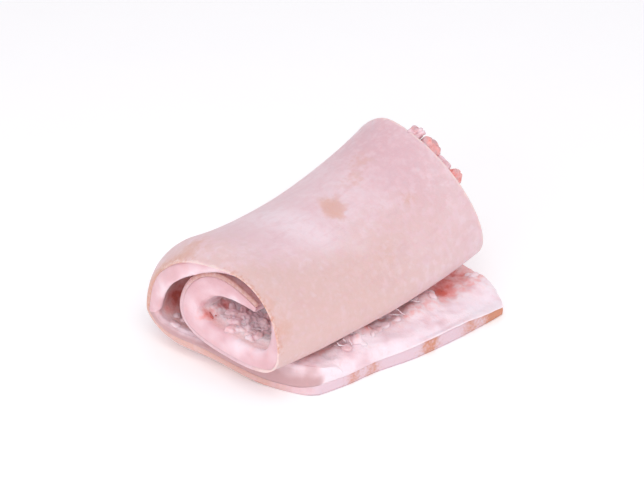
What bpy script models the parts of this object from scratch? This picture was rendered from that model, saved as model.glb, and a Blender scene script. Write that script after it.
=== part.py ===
"""A slab of raw pork skin with its back fat, rolled up once and three quarters and lying flat."""

import math

import bmesh
import bpy
import numpy as np
from mathutils import Vector, noise

MM = 0.001

# The turning points of the roll, seen along its axis, from the free edge inwards. Each has its
# place (x, z) in mm at the near end, half way and at the far end; the skin side runs through it.
TURNING_POINTS = {
    "free_edge": ((1.0, 0.6), (15.5, 0.4), (22.5, 0.7)),
    "floor_end": ((-74.0, 0.0), (-72.0, 0.0), (-72.0, 0.0)),
    "outer_left": ((-102.8, 20.0), (-99.0, 27.0), (-97.0, 32.0)),
    "outer_top": ((-49.0, 73.0), (-52.0, 63.4), (-64.0, 77.0)),
    "outer_right": ((-4.5, 32.5), (2.7, 27.5), (2.2, 31.0)),
    "inner_bottom": ((-35.0, 14.9), (-39.0, 14.9), (-42.0, 14.8)),
    "inner_left": ((-72.5, 31.0), (-72.0, 33.0), (-73.0, 34.0)),
    "inner_top": ((-47.0, 56.6), (-48.0, 50.8), (-52.0, 54.0)),
    "tail": ((-24.5, 49.3), (-26.0, 41.8), (-27.0, 43.0)),
}
# How square the quarter turn that ends at each turning point is, where 2 is an ellipse: at the
# near end, half way and at the far end.
SQUARENESS = {
    "outer_left": (2.0, 2.0, 2.0),
    "outer_top": (1.9, 1.65, 1.75),
    "outer_right": (2.1, 1.75, 1.68),
    "inner_bottom": (2.6, 2.6, 2.6),
    "inner_left": (2.7, 2.6, 2.4),
    "inner_top": (1.9, 1.9, 1.9),
}
TAIL_BEND = 1.6
FREE_EDGE_BEND = 4
# The free edge has a shallow dent: its middle and half width as shares of the roll's length, and
# its depth in mm.
FREE_EDGE_DENT = (0.29, 0.12, 1.8)

# Where the two cut ends lie along the roll, in mm, at each turning point.
NEAR_END = (-2.5, -25.0, -20.5, -23.0, -21.5, -22.0, -21.5, -15.5, -15.0)
FAR_END = (124.2, 128.0, 124.5, 123.5, 121.5, 121.0, 119.0, 118.0, 118.0)
# On the first stretch the near end follows this power of the place, so that it bows outwards.
NEAR_END_BEND = 0.75
# The free edge's two corners are rounded off by this much, over this share of the first stretch.
NEAR_CORNER_CUT = 2.5
NEAR_CORNER_REACH = 0.09
FAR_CORNER_CUT = 11.0
FAR_CORNER_REACH = 0.26

# Skin and fat together, in mm, at the near end, half way and at the far end of each turning point.
THICKNESS = (
    (13.5, 11.0, 5.5),
    (14.6, 12.6, 12.6),
    (13.5, 12.5, 12.0),
    (9.0, 10.0, 11.0),
    (8.5, 10.0, 10.0),
    (12.0, 11.0, 11.0),
    (12.0, 11.0, 11.0),
    (13.5, 12.0, 11.0),
    (6.5, 8.0, 8.0),
)
THINNEST = 3.0

# The skin's near edge turns inwards. By place along the sheet: how far and over what width, in
# mm, and the share of it that the fat gives up, so that its own side stays where it is.
DROOP = (
    (0.0, 0.0, 8.0, 1.0),
    (0.35, 0.0, 8.0, 1.0),
    (0.8, 8.5, 13.0, 1.0),
    (1.5, 8.5, 13.0, 1.0),
    (1.9, 6.0, 10.0, 0.7),
    (2.5, 11.0, 20.0, 0.4),
    (3.0, 8.5, 20.0, 0.4),
    (3.35, 2.0, 16.0, 0.45),
    (3.6, 0.5, 12.0, 0.45),
    (4.2, 0.0, 10.0, 0.5),
    (8.0, 0.0, 8.0, 0.5),
)
DROOP_POWER = 2.2
# The fat stops short of the skin's edge, by place and depth in mm: the slab is cut on the slant,
# and the top layer's skin hangs over.
UNDERCUT = (
    (0.0, 3.5),
    (0.12, 4.5),
    (0.7, 4.5),
    (1.5, 0.0),
    (2.6, 0.0),
    (3.0, 8.0),
    (3.6, 8.0),
    (4.1, 1.0),
    (4.5, 0.0),
    (8.0, 0.0),
)
UNDERCUT_FADE = 40.0

# The fat's uneven surface: the height of its bumps in mm by place along the sheet.
LUMPS = (
    (0.0, 0.7),
    (0.2, 1.3),
    (0.34, 0.8),
    (0.5, 0.0),
    (1.2, 0.0),
    (1.6, 0.9),
    (3.2, 0.7),
    (4.2, 0.8),
    (4.8, 1.9),
    (5.4, 1.7),
    (6.2, 0.9),
    (8.0, 0.6),
)
LUMP_SIZE = 11.0
# Fat lobules beside the roll: x and y of the middle, radius and height, all in mm.
LOBULES = (
    (-7.0, 33.0, 6.0, 4.0),
    (-6.0, 42.0, 5.0, 2.6),
    (-3.0, 72.0, 6.5, 3.4),
    (-4.0, 84.0, 6.0, 4.2),
    (3.0, 116.0, 8.0, 3.0),
)
# The skin's own slow waves, in mm.
UNDULATION = 0.5
UNDULATION_SIZE = 38.0

# How far the underside is pressed flat against what it lies on, in mm.
SETTLE = 0.3

# Ragged scraps that hang out at the far end: middle x, y, z and half sizes, in mm.
SCRAPS = (
    (-50.5, 126.5, 72.0, 3.6, 6.0, 3.0),
    (-42.0, 127.0, 66.0, 5.0, 7.0, 6.5),
    (-33.0, 126.0, 60.5, 5.0, 6.0, 4.5),
    (-24.0, 127.0, 56.0, 3.4, 6.5, 4.4),
)
SCRAP_ROUGHNESS = 0.3

ROWS_ALONG_SHEET = 100
ROWS_ALONG_AXIS = 26
END_CROWDING = 1.25
ARC_STEPS = 24
BLEND = 4.0
RIM_BULGE = 0.8

# The middle of the roll's bounding box, moved to the origin, in mm.
CENTRE_X = -39.33
CENTRE_Y = 54.23

SKIN_COLOUR = (0.84, 0.66, 0.66, 1.0)
SKIN_ROUGHNESS = 0.45


def clear_scene():
    for thing in list(bpy.data.objects):
        bpy.data.objects.remove(thing, do_unlink=True)


def along_axis(values, t):
    """The parabola through the near, middle and far values."""
    near, middle, far = values
    return near * (1 - t) * (1 - 2 * t) + middle * 4 * t * (1 - t) + far * t * (2 * t - 1)


def smoothed(rows, steps):
    """The rows after a bell-shaped blur along the sheet that keeps the two ends in place."""
    reach = 3 * steps
    bell = np.exp(-0.5 * (np.arange(-reach, reach + 1) / steps) ** 2)
    bell /= bell.sum()
    before = 2 * rows[0] - rows[1 : reach + 1][::-1]
    after = 2 * rows[-1] - rows[-reach - 1 : -1][::-1]
    padded = np.vstack([before, rows, after])
    columns = [np.convolve(padded[:, j], bell, "valid") for j in range(padded.shape[1])]
    return np.stack(columns, axis=1)


def by_place(place, pairs, column=1):
    """The value at each place along the sheet, from rows that start with their own place."""
    return np.interp(place, [row[0] for row in pairs], [row[column] for row in pairs])[:, None]


def quarter_turn(start, end, squareness, leaves_level):
    """The steps of a superellipse's quarter from one turning point to the next."""
    turn = np.linspace(0, math.pi / 2, ARC_STEPS + 1)[1:, None]
    rising = np.sin(turn) ** (2.0 / squareness)
    falling = np.cos(turn) ** (2.0 / squareness)
    across, up = (rising, 1 - falling) if leaves_level else (1 - falling, rising)
    return start[0] + (end[0] - start[0]) * across, start[1] + (end[1] - start[1]) * up


def raw_outline(t):
    """The skin line before blending: x and z, each (points, len(t)), and the place of each point."""
    names = list(TURNING_POINTS)
    corners = [
        [along_axis([where[axis] for where in point], t) for axis in (0, 1)]
        for point in TURNING_POINTS.values()
    ]
    step = np.linspace(0, 1, ARC_STEPS + 1)[:, None]
    edge, floor_end = corners[0], corners[1]
    dent_middle, dent_width, dent_depth = FREE_EDGE_DENT
    edge[0] = edge[0] - dent_depth * np.exp(-(((t - dent_middle) / dent_width) ** 2))
    pieces = [
        (
            edge[0] + (floor_end[0] - edge[0]) * step,
            floor_end[1] + (edge[1] - floor_end[1]) * (1 - step) ** FREE_EDGE_BEND,
        )
    ]
    for i, name in enumerate(names[2:-1], start=1):
        squareness = along_axis(SQUARENESS[name], t)
        pieces.append(quarter_turn(corners[i], corners[i + 1], squareness, i % 2 == 1))
    last, tail = corners[-2], corners[-1]
    pieces.append(
        (
            last[0] + (tail[0] - last[0]) * step[1:],
            last[1] + (tail[1] - last[1]) * step[1:] ** TAIL_BEND,
        )
    )
    places = [step[:, 0]] + [i + step[1:, 0] for i in range(1, len(names) - 1)]
    x = np.vstack([piece[0] for piece in pieces])
    z = np.vstack([piece[1] for piece in pieces])
    return x, z, np.concatenate(places)


def wave(points, size, seed):
    """Smooth noise between about -1 and 1 at each point, with bumps of the given size."""
    shift = Vector((seed, 2.3 * seed, -seed))
    flat = points.reshape(-1, 3) / size
    values = [noise.noise(Vector(point) + shift) for point in flat]
    return np.reshape(values, points.shape[:-1])


def lobule_height(points):
    """The height of the separate fat lobules at each point of the slab."""
    height = np.zeros(points.shape[:-1])
    for x, y, radius, top in LOBULES:
        distance = np.hypot(points[..., 0] - x, points[..., 1] - y)
        height += top * np.exp(-((distance / radius) ** 2))
    return height


def sheet_sides():
    """The skin side and the fat side of the rolled sheet, each (rows, rows, 3), in mm."""
    t = np.linspace(0, 1, ROWS_ALONG_AXIS) ** END_CROWDING
    x, z, places = raw_outline(t)
    middle = len(t) // 2
    run = np.hypot(np.diff(x[:, middle]), np.diff(z[:, middle]))
    length = np.concatenate([[0.0], np.cumsum(run)])
    even = np.linspace(0, length[-1], ROWS_ALONG_SHEET)
    place = np.interp(even, length, places)
    blend = max(1, round(BLEND * ROWS_ALONG_SHEET / length[-1]))
    x = smoothed(np.stack([np.interp(even, length, column) for column in x.T], axis=1), blend)
    z = smoothed(np.stack([np.interp(even, length, column) for column in z.T], axis=1), blend)

    bent = np.where(place < 1, place**NEAR_END_BEND, place)
    near = smoothed(by_place(bent, list(enumerate(NEAR_END))), 3 * blend)
    near += NEAR_CORNER_CUT * np.clip(1 - place / NEAR_CORNER_REACH, 0, 1)[:, None] ** 2
    far = smoothed(by_place(place, list(enumerate(FAR_END))), 3 * blend)
    far -= FAR_CORNER_CUT * np.clip(1 - place / FAR_CORNER_REACH, 0, 1)[:, None] ** 2
    y = near * (1 - t) + far * t
    thickness = [
        smoothed(by_place(place, list(enumerate(column))), 2 * blend) for column in zip(*THICKNESS)
    ]
    thickness = along_axis(thickness, t)

    skin = np.stack([x, y, z], axis=-1)
    inward = np.cross(np.gradient(skin, axis=1), np.gradient(skin, axis=0))
    inward /= np.linalg.norm(inward, axis=-1, keepdims=True)

    depth = smoothed(by_place(place, DROOP, 1), 2 * blend)
    width = smoothed(by_place(place, DROOP, 2), 2 * blend)
    from_end = y - near
    droop = depth * np.clip(1 - from_end / width, 0, 1) ** DROOP_POWER
    off_floor = np.clip(z / 10 - 0.5, 0, 1)
    waves = UNDULATION * wave(skin, UNDULATION_SIZE, 3) * off_floor
    skin = skin + inward * (droop + waves)[..., None]
    skin[..., 2] = np.maximum(skin[..., 2] - SETTLE, 0.0)

    given_up = smoothed(by_place(place, DROOP, 3), 2 * blend)
    thickness = np.maximum(thickness - given_up * droop, THINNEST)
    fat = skin + inward * thickness[..., None]
    fat = np.stack([smoothed(fat[..., axis], 2 * blend) for axis in range(3)], axis=-1)
    bumps = wave(fat, LUMP_SIZE, 7) + 0.5 * wave(fat, LUMP_SIZE / 2, 11)
    height = by_place(place, LUMPS) * np.clip(from_end / 12, 0.25, 1) * bumps
    height += np.where(place[:, None] < 0.5, lobule_height(fat), 0.0)
    fat = fat + inward * height[..., None]
    setback = smoothed(by_place(place, UNDERCUT), 2 * blend)
    fat[..., 1] += setback * np.clip(1 - from_end / UNDERCUT_FADE, 0, 1)
    return skin, fat


def rim_order(rows, columns):
    """The grid points round the sheet's edge, once round."""
    order = [(i, 0) for i in range(rows)]
    order += [(rows - 1, j) for j in range(1, columns)]
    order += [(i, columns - 1) for i in reversed(range(rows - 1))]
    order += [(0, j) for j in reversed(range(1, columns - 1))]
    return order


def closed_sheet(skin, fat):
    """Vertices and faces of one closed body: the two sides and a bulging rim between them."""
    rows, columns = skin.shape[:2]
    count = rows * columns
    faces = []
    for i in range(rows - 1):
        for j in range(columns - 1):
            first = i * columns + j
            corners = (first, first + columns, first + columns + 1, first + 1)
            faces.append(corners)
            faces.append(tuple(count + corner for corner in reversed(corners)))
    order = rim_order(rows, columns)
    middles = []
    for i, j in order:
        back_i = min(max(i, 1), rows - 2)
        back_j = min(max(j, 1), columns - 2)
        middle = (skin[i, j] + fat[i, j]) / 2
        outward = middle - (skin[back_i, back_j] + fat[back_i, back_j]) / 2
        middles.append(middle + RIM_BULGE * outward / np.linalg.norm(outward))
    edge = [i * columns + j for i, j in order]
    for k, a in enumerate(edge):
        b = edge[(k + 1) % len(edge)]
        middle_a = 2 * count + k
        middle_b = 2 * count + (k + 1) % len(edge)
        faces.append((a, middle_a, middle_b, b))
        faces.append((middle_a, count + a, count + b, middle_b))
    return np.vstack([skin.reshape(-1, 3), fat.reshape(-1, 3), middles]), faces


def add_object(name, collection, mesh):
    thing = bpy.data.objects.new(name, mesh)
    collection.objects.link(thing)
    return thing


def in_place(points):
    """Points in mm, moved so that the roll stands over the origin, in metres."""
    return (np.asarray(points) - (CENTRE_X, CENTRE_Y, 0.0)) * MM


def add_scraps(collection):
    """Rough lumps of fat and lean, each an icosphere pushed out of true."""
    for number, (x, y, z, *half_sizes) in enumerate(SCRAPS):
        shape = bmesh.new()
        bmesh.ops.create_icosphere(shape, subdivisions=2, radius=1.0)
        points = np.array([vertex.co for vertex in shape.verts])
        swell = 1 + SCRAP_ROUGHNESS * wave(points, 0.7, 20 + number)
        points = in_place(points * swell[:, None] * half_sizes + (x, y, z))
        for vertex, point in zip(shape.verts, points):
            vertex.co = point
        mesh = bpy.data.meshes.new(f"scrap_{number}")
        shape.to_mesh(mesh)
        shape.free()
        add_object(f"scrap_{number}", collection, mesh)


def fuse(thing, collection):
    """Joins the collection's objects to the thing and removes them."""
    union = thing.modifiers.new("fuse", "BOOLEAN")
    union.operation = "UNION"
    union.operand_type = "COLLECTION"
    union.collection = collection
    union.solver = "EXACT"
    bpy.context.view_layer.objects.active = thing
    bpy.ops.object.modifier_apply(modifier=union.name)
    for piece in list(collection.objects):
        bpy.data.objects.remove(piece, do_unlink=True)
    bpy.data.collections.remove(collection)


def raw_skin_material():
    material = bpy.data.materials.new("raw_pork_skin")
    material.use_nodes = True
    shader = material.node_tree.nodes["Principled BSDF"]
    shader.inputs["Base Color"].default_value = SKIN_COLOUR
    shader.inputs["Roughness"].default_value = SKIN_ROUGHNESS
    shader.inputs["Metallic"].default_value = 0.0
    return material


def main():
    clear_scene()
    vertices, faces = closed_sheet(*sheet_sides())
    mesh = bpy.data.meshes.new("pork_skin_roll")
    mesh.from_pydata(in_place(vertices).tolist(), [], faces)
    roll = add_object("pork_skin_roll", bpy.context.scene.collection, mesh)
    scraps = bpy.data.collections.new("scraps")
    bpy.context.scene.collection.children.link(scraps)
    add_scraps(scraps)
    fuse(roll, scraps)
    roll.data.materials.clear()
    roll.data.materials.append(raw_skin_material())
    roll.data.shade_smooth()


main()
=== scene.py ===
import math
from functools import partial

import bmesh
import bpy
import numpy as np
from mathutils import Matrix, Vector, noise


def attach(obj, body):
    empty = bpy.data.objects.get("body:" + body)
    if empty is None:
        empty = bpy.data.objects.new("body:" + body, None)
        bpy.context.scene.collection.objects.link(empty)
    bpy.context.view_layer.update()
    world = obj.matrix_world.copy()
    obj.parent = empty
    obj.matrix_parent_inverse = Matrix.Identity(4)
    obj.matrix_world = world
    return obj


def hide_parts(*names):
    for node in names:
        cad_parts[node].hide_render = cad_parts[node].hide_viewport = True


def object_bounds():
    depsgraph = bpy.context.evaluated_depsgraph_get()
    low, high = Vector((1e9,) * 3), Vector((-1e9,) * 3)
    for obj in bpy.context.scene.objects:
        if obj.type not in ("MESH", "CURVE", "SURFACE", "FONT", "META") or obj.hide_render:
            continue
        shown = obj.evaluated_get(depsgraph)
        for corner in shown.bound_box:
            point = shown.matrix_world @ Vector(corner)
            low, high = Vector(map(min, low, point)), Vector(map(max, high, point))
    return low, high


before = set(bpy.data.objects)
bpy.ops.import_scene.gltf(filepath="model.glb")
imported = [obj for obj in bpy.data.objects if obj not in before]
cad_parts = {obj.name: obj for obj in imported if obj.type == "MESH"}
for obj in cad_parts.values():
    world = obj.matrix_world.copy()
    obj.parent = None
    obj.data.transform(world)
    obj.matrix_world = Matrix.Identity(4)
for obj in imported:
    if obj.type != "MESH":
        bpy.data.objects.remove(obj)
cadLow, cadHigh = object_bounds()
mm = 0.001
print("stage 1: the packed frame is loaded")

# Sizes in mm, the same as the solid's, measured from the near end of the free edge. The sheet is
# followed from its free edge inwards; each turning point has its place (x, z) at the near end,
# half way and at the far end.
sheetShape = {
    "turningPoints": {
        "freeEdge": ((1.0, 0.6), (15.5, 0.4), (22.5, 0.7)),
        "floorEnd": ((-74.0, 0.0), (-72.0, 0.0), (-72.0, 0.0)),
        "outerLeft": ((-102.8, 20.0), (-99.0, 27.0), (-97.0, 32.0)),
        "outerTop": ((-49.0, 73.0), (-52.0, 63.4), (-64.0, 77.0)),
        "outerRight": ((-4.5, 32.5), (2.7, 27.5), (2.2, 31.0)),
        "innerBottom": ((-35.0, 14.9), (-39.0, 14.9), (-42.0, 14.8)),
        "innerLeft": ((-72.5, 31.0), (-72.0, 33.0), (-73.0, 34.0)),
        "innerTop": ((-47.0, 56.6), (-48.0, 50.8), (-52.0, 54.0)),
        "tail": ((-24.5, 49.3), (-26.0, 41.8), (-27.0, 43.0)),
    },
    # how square each quarter turn is, at the near end, half way and at the far end; 2 is an ellipse
    "squareness": (
        (2.0, 2.0, 2.0), (1.9, 1.65, 1.75), (2.1, 1.75, 1.68),
        (2.6, 2.6, 2.6), (2.7, 2.6, 2.4), (1.9, 1.9, 1.9),
    ),
    "tailBend": 1.6,
    "freeEdgeBend": 4,
    # a shallow dent in the free edge: middle and half width along the roll, and depth
    "freeEdgeDent": (0.29, 0.12, 1.8),
    "nearEnd": (-2.5, -25.0, -20.5, -23.0, -21.5, -22.0, -21.5, -15.5, -15.0),
    "farEnd": (124.2, 128.0, 124.5, 123.5, 121.5, 121.0, 119.0, 118.0, 118.0),
    "nearEndBend": 0.75,
    # how much each corner of the free edge is rounded off, and over what share of the first stretch
    "nearCorner": (2.5, 0.09),
    "farCorner": (11.0, 0.26),
    # skin and fat together at the near end, half way and at the far end of each turning point
    "thickness": (
        (13.5, 11.0, 5.5), (14.6, 12.6, 12.6), (13.5, 12.5, 12.0), (9.0, 10.0, 11.0),
        (8.5, 10.0, 10.0), (12.0, 11.0, 11.0), (12.0, 11.0, 11.0), (13.5, 12.0, 11.0),
        (6.5, 8.0, 8.0),
    ),
    "thinnest": 3.0,
    # the near edge turns inwards: place, depth, width, share of it that the fat gives up
    "droop": (
        (0.0, 0.0, 8.0, 1.0), (0.35, 0.0, 8.0, 1.0),
        (0.8, 8.5, 13.0, 1.0), (1.5, 8.5, 13.0, 1.0),
        (1.9, 6.0, 10.0, 0.7), (2.5, 11.0, 20.0, 0.4),
        (3.0, 8.5, 20.0, 0.4), (3.35, 2.0, 16.0, 0.45),
        (3.6, 0.5, 12.0, 0.45), (4.2, 0.0, 10.0, 0.5),
        (8.0, 0.0, 8.0, 0.5),
    ),
    "droopPower": 2.2,
    # how far the fat stops short of the skin's edge, by place
    "undercut": (
        (0.0, 3.5), (0.12, 4.5), (0.7, 4.5), (1.5, 0.0), (2.6, 0.0),
        (3.0, 8.0), (3.6, 8.0), (4.1, 1.0), (4.5, 0.0), (8.0, 0.0),
    ),
    "undercutFade": 40.0,
    # height of the fat's large bumps, by place
    "lumps": (
        (0.0, 0.7), (0.2, 1.3), (0.34, 0.8), (0.5, 0.0), (1.2, 0.0), (1.6, 0.9),
        (3.2, 0.7), (4.2, 0.8), (4.8, 1.9), (5.4, 1.7), (6.2, 0.9), (8.0, 0.6),
    ),
    "lumpSize": 11.0,
    # bulges of fat beside the roll: x, y, radius, height
    "bulges": (
        (-7.0, 33.0, 6.0, 4.0), (-6.0, 42.0, 5.0, 2.6),
        (-3.0, 72.0, 6.5, 3.4), (-4.0, 84.0, 6.0, 4.2),
        (3.0, 116.0, 8.0, 3.0),
    ),
    "undulation": 0.5,
    "undulationSize": 38.0,
    "settle": 0.3,
    "arcSteps": 24,
    "blend": 4.0,
    # rows of the visible mesh, and how much closer together they are at the two cut ends
    "rowsAlongSheet": 330,
    "rowsAlongAxis": 118,
    "endCrowding": 0.55,
    # how far the visible sheet stays inside the solid's own box
    "inset": 0.04,
    # the point that the frame has at its origin
    "centre": (-39.33, 54.23, 0.0),
}


def alongAxis(values, t):
    # the parabola through the near, middle and far values
    near, middle, far = values
    return near * (1 - t) * (1 - 2 * t) + middle * 4 * t * (1 - t) + far * t * (2 * t - 1)


def smoothed(rows, steps):
    # bell-shaped blur along the sheet that keeps the two ends in place
    reach = 3 * steps
    bell = np.exp(-0.5 * (np.arange(-reach, reach + 1) / steps) ** 2)
    bell /= bell.sum()
    before = 2 * rows[0] - rows[1 : reach + 1][::-1]
    after = 2 * rows[-1] - rows[-reach - 1 : -1][::-1]
    padded = np.vstack([before, rows, after])
    columns = [np.convolve(padded[:, j], bell, "valid") for j in range(padded.shape[1])]
    return np.stack(columns, axis=1)


def byPlace(place, pairs, column=1):
    # a value for each row of the sheet, from pairs that start with their place
    return np.interp(place, [row[0] for row in pairs], [row[column] for row in pairs])[:, None]


def quarterTurn(start, end, squareness, leavesLevel):
    turn = np.linspace(0, math.pi / 2, sheetShape["arcSteps"] + 1)[1:, None]
    rising = np.sin(turn) ** (2.0 / squareness)
    falling = np.cos(turn) ** (2.0 / squareness)
    across, up = (rising, 1 - falling) if leavesLevel else (1 - falling, rising)
    return start[0] + (end[0] - start[0]) * across, start[1] + (end[1] - start[1]) * up


def rawOutline(t):
    # the skin line before blending, with the place of each of its points along the sheet
    corners = [
        [alongAxis([where[axis] for where in point], t) for axis in (0, 1)]
        for point in sheetShape["turningPoints"].values()
    ]
    step = np.linspace(0, 1, sheetShape["arcSteps"] + 1)[:, None]
    edge, floorEnd = corners[:2]
    dentMiddle, dentWidth, dentDepth = sheetShape["freeEdgeDent"]
    edge[0] = edge[0] - dentDepth * np.exp(-(((t - dentMiddle) / dentWidth) ** 2))
    rise = (1 - step) ** sheetShape["freeEdgeBend"]
    pieces = [(edge[0] + (floorEnd[0] - edge[0]) * step, floorEnd[1] + (edge[1] - floorEnd[1]) * rise)]
    for i, values in enumerate(sheetShape["squareness"], start=1):
        squareness = alongAxis(values, t)
        pieces.append(quarterTurn(corners[i], corners[i + 1], squareness, i % 2 == 1))
    last, tail = corners[-2:]
    fall = step[1:] ** sheetShape["tailBend"]
    pieces.append((last[0] + (tail[0] - last[0]) * step[1:], last[1] + (tail[1] - last[1]) * fall))
    places = [step[:, 0]] + [i + step[1:, 0] for i in range(1, len(corners) - 1)]
    x, z = map(np.vstack, zip(*pieces))
    return x, z, np.concatenate(places)


def wave(points, size, seed):
    # smooth noise between about -1 and 1, with bumps of the given size
    shift = Vector((seed, 2.3 * seed, -seed))
    values = [noise.noise(Vector(point) + shift) for point in points.reshape(-1, 3) / size]
    return np.reshape(values, points.shape[:-1])


def bulgeHeight(points):
    height = np.zeros(points.shape[:-1])
    for x, y, radius, top in sheetShape["bulges"]:
        distance = np.hypot(points[..., 0] - x, points[..., 1] - y)
        height += top * np.exp(-((distance / radius) ** 2))
    return height


def cornerRound(place, corner):
    depth, reach = corner
    return depth * np.clip(1 - place / reach, 0, 1)[:, None] ** 2


def sheetSides():
    # the skin side, the fat side and what is known about each point of the grid, all in mm
    shape = sheetShape
    s = np.linspace(0, 1, shape["rowsAlongAxis"])
    t = s - shape["endCrowding"] * np.sin(2 * math.pi * s) / (2 * math.pi)
    x, z, places = rawOutline(t)
    middle = len(t) // 2
    run = np.hypot(np.diff(x[:, middle]), np.diff(z[:, middle]))
    length = np.concatenate([[0.0], np.cumsum(run)])
    even = np.linspace(0, length[-1], shape["rowsAlongSheet"])
    place = np.interp(even, length, places)
    blend = max(1, round(shape["blend"] * shape["rowsAlongSheet"] / length[-1]))

    def eased(pairs, column=1):
        return smoothed(byPlace(place, pairs, column), 2 * blend)

    x, z = (
        smoothed(np.stack([np.interp(even, length, column) for column in line.T], axis=1), blend)
        for line in (x, z)
    )

    bent = np.where(place < 1, place ** shape["nearEndBend"], place)
    near = smoothed(byPlace(bent, list(enumerate(shape["nearEnd"]))), 3 * blend)
    near += cornerRound(place, shape["nearCorner"])
    far = smoothed(byPlace(place, list(enumerate(shape["farEnd"]))), 3 * blend)
    far -= cornerRound(place, shape["farCorner"])
    y = near * (1 - t) + far * t
    thickness = alongAxis([eased(list(enumerate(column))) for column in zip(*shape["thickness"])], t)

    skin = np.stack([x, y, z], axis=-1)
    inward = np.cross(np.gradient(skin, axis=1), np.gradient(skin, axis=0))
    inward /= np.linalg.norm(inward, axis=-1, keepdims=True)

    depth = eased(shape["droop"], 1)
    width = eased(shape["droop"], 2)
    fromNear = y - near
    droop = depth * np.clip(1 - fromNear / width, 0, 1) ** shape["droopPower"]
    offFloor = np.clip(z / 10 - 0.5, 0, 1)
    waves = shape["undulation"] * wave(skin, shape["undulationSize"], 3) * offFloor
    skin = skin + inward * (droop + waves)[..., None]
    skin[..., 2] = np.maximum(skin[..., 2] - shape["settle"], 0.0)

    givenUp = eased(shape["droop"], 3)
    thickness = np.maximum(thickness - givenUp * droop, shape["thinnest"])
    fat = skin + inward * thickness[..., None]
    fat = np.stack([smoothed(fat[..., axis], 2 * blend) for axis in range(3)], axis=-1)
    bumps = wave(fat, shape["lumpSize"], 7) + 0.5 * wave(fat, shape["lumpSize"] / 2, 11)
    height = byPlace(place, shape["lumps"]) * np.clip(fromNear / 12, 0.25, 1) * bumps
    height += np.where(place[:, None] < 0.5, bulgeHeight(fat), 0.0)
    fat = fat + inward * height[..., None]
    setback = eased(shape["undercut"]) * np.clip(1 - fromNear / shape["undercutFade"], 0, 1)
    fat[..., 1] += setback
    known = {
        "place": np.repeat(place[:, None], len(t), axis=1),
        "along": np.repeat(even[:, None], len(t), axis=1),
        "fromNear": fromNear,
        "fromFar": far - y,
        "inward": inward,
        "thickness": np.maximum(np.linalg.norm(fat - skin, axis=-1), 0.1),
        "setback": setback,
    }
    return skin, fat, known


def softBand(values, low, high, edge):
    # 1 between low and high, fading to 0 over edge on both sides
    return np.clip((values - low) / edge + 1, 0, 1) * np.clip((high - values) / edge + 1, 0, 1)


def spots(points, marks):
    # soft round marks: x, y, z, radius and strength
    total = np.zeros(points.shape[:-1])
    for x, y, z, radius, strength in marks:
        distance = np.linalg.norm(points - (x, y, z), axis=-1)
        total += strength * np.exp(-((distance / radius) ** 2))
    return total


def inFrame(points):
    # from mm on the sheet's own axes to metres in the frame
    return (np.asarray(points) - sheetShape["centre"]) * mm


def addObject(name, mesh):
    piece = bpy.data.objects.new(name, mesh)
    bpy.context.scene.collection.objects.link(piece)
    return piece


def markMesh(mesh, marks):
    # stores each named mark, one value for each point, for materials and node trees to read
    for key, values in marks.items():
        layer = mesh.attributes.new(key, "FLOAT", "POINT")
        layer.data.foreach_set("value", np.ravel(values).astype(np.float32))


def ringOf(grid):
    # the grid's edge, once round
    return np.concatenate([grid[:, 0], grid[-1, 1:], grid[-2::-1, -1], grid[0, -2:0:-1]])


def quadsOf(grid):
    # the grid's faces, four corners each
    corners = (grid[:-1, :-1], grid[:-1, 1:], grid[1:, 1:], grid[1:, :-1])
    return np.stack(corners, axis=-1).reshape(-1, 4)


def closedShell(name, outer, inner, rim, marks):
    # a closed mesh of two grids and a rim between them; marks are (outer grid, inner grid) pairs
    rows, columns = outer.shape[:2]
    count = rows * columns
    grid = np.arange(count).reshape(rows, columns)
    # the outer side's corners go the other way round
    quads = quadsOf(grid)[:, [0, 3, 2, 1]]
    ring = ringOf(grid)
    i, j = np.divmod(ring, columns)
    back = np.clip(i, 3, rows - 4), np.clip(j, 3, columns - 4)
    outward = (outer[i, j] + inner[i, j]) / 2 - (outer[back] + inner[back]) / 2
    outward /= np.linalg.norm(outward, axis=-1, keepdims=True)

    layers = [ring]
    points = [outer.reshape(-1, 3), inner.reshape(-1, 3)]
    weights = []
    for step in range(1, rim["steps"]):
        share = step / rim["steps"]
        rise = rim["bulge"] * (1 - abs(2 * share - 1) ** rim["flatness"])
        groove = rim["groove"](i, j, share) if "groove" in rim else 0.0
        between = outer[i, j] * (1 - share) + inner[i, j] * share
        points.append(between + outward * np.reshape(rise - groove, (-1, 1)))
        layers.append(2 * count + (step - 1) * len(ring) + np.arange(len(ring)))
        weights.append(share)
    layers.append(ring + count)
    faces = [quads, quads[:, ::-1] + count]
    for lower, upper in zip(layers, layers[1:]):
        nextLower, nextUpper = np.roll(lower, -1), np.roll(upper, -1)
        faces.append(np.stack([lower, upper, nextUpper, nextLower], axis=-1))

    inset = sheetShape["inset"] * mm
    within = np.clip(inFrame(np.vstack(points)), np.add(cadLow, inset), np.add(cadHigh, -inset))
    mesh = bpy.data.meshes.new(name)
    mesh.from_pydata(within.tolist(), [], np.vstack(faces).tolist())
    whole = {}
    for key, (outside, inside) in marks.items():
        parts = [outside.ravel(), inside.ravel()]
        parts += [outside[i, j] * (1 - share) + inside[i, j] * share for share in weights]
        whole[key] = np.concatenate(parts)
    markMesh(mesh, whole)
    return mesh


def toLinear(code):
    # sRGB hex to the linear colour that the shader wants
    parts = [int(code[i : i + 2], 16) / 255 for i in (1, 3, 5)]
    return [c / 12.92 if c <= 0.04045 else ((c + 0.055) / 1.055) ** 2.4 for c in parts] + [1.0]


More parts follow.
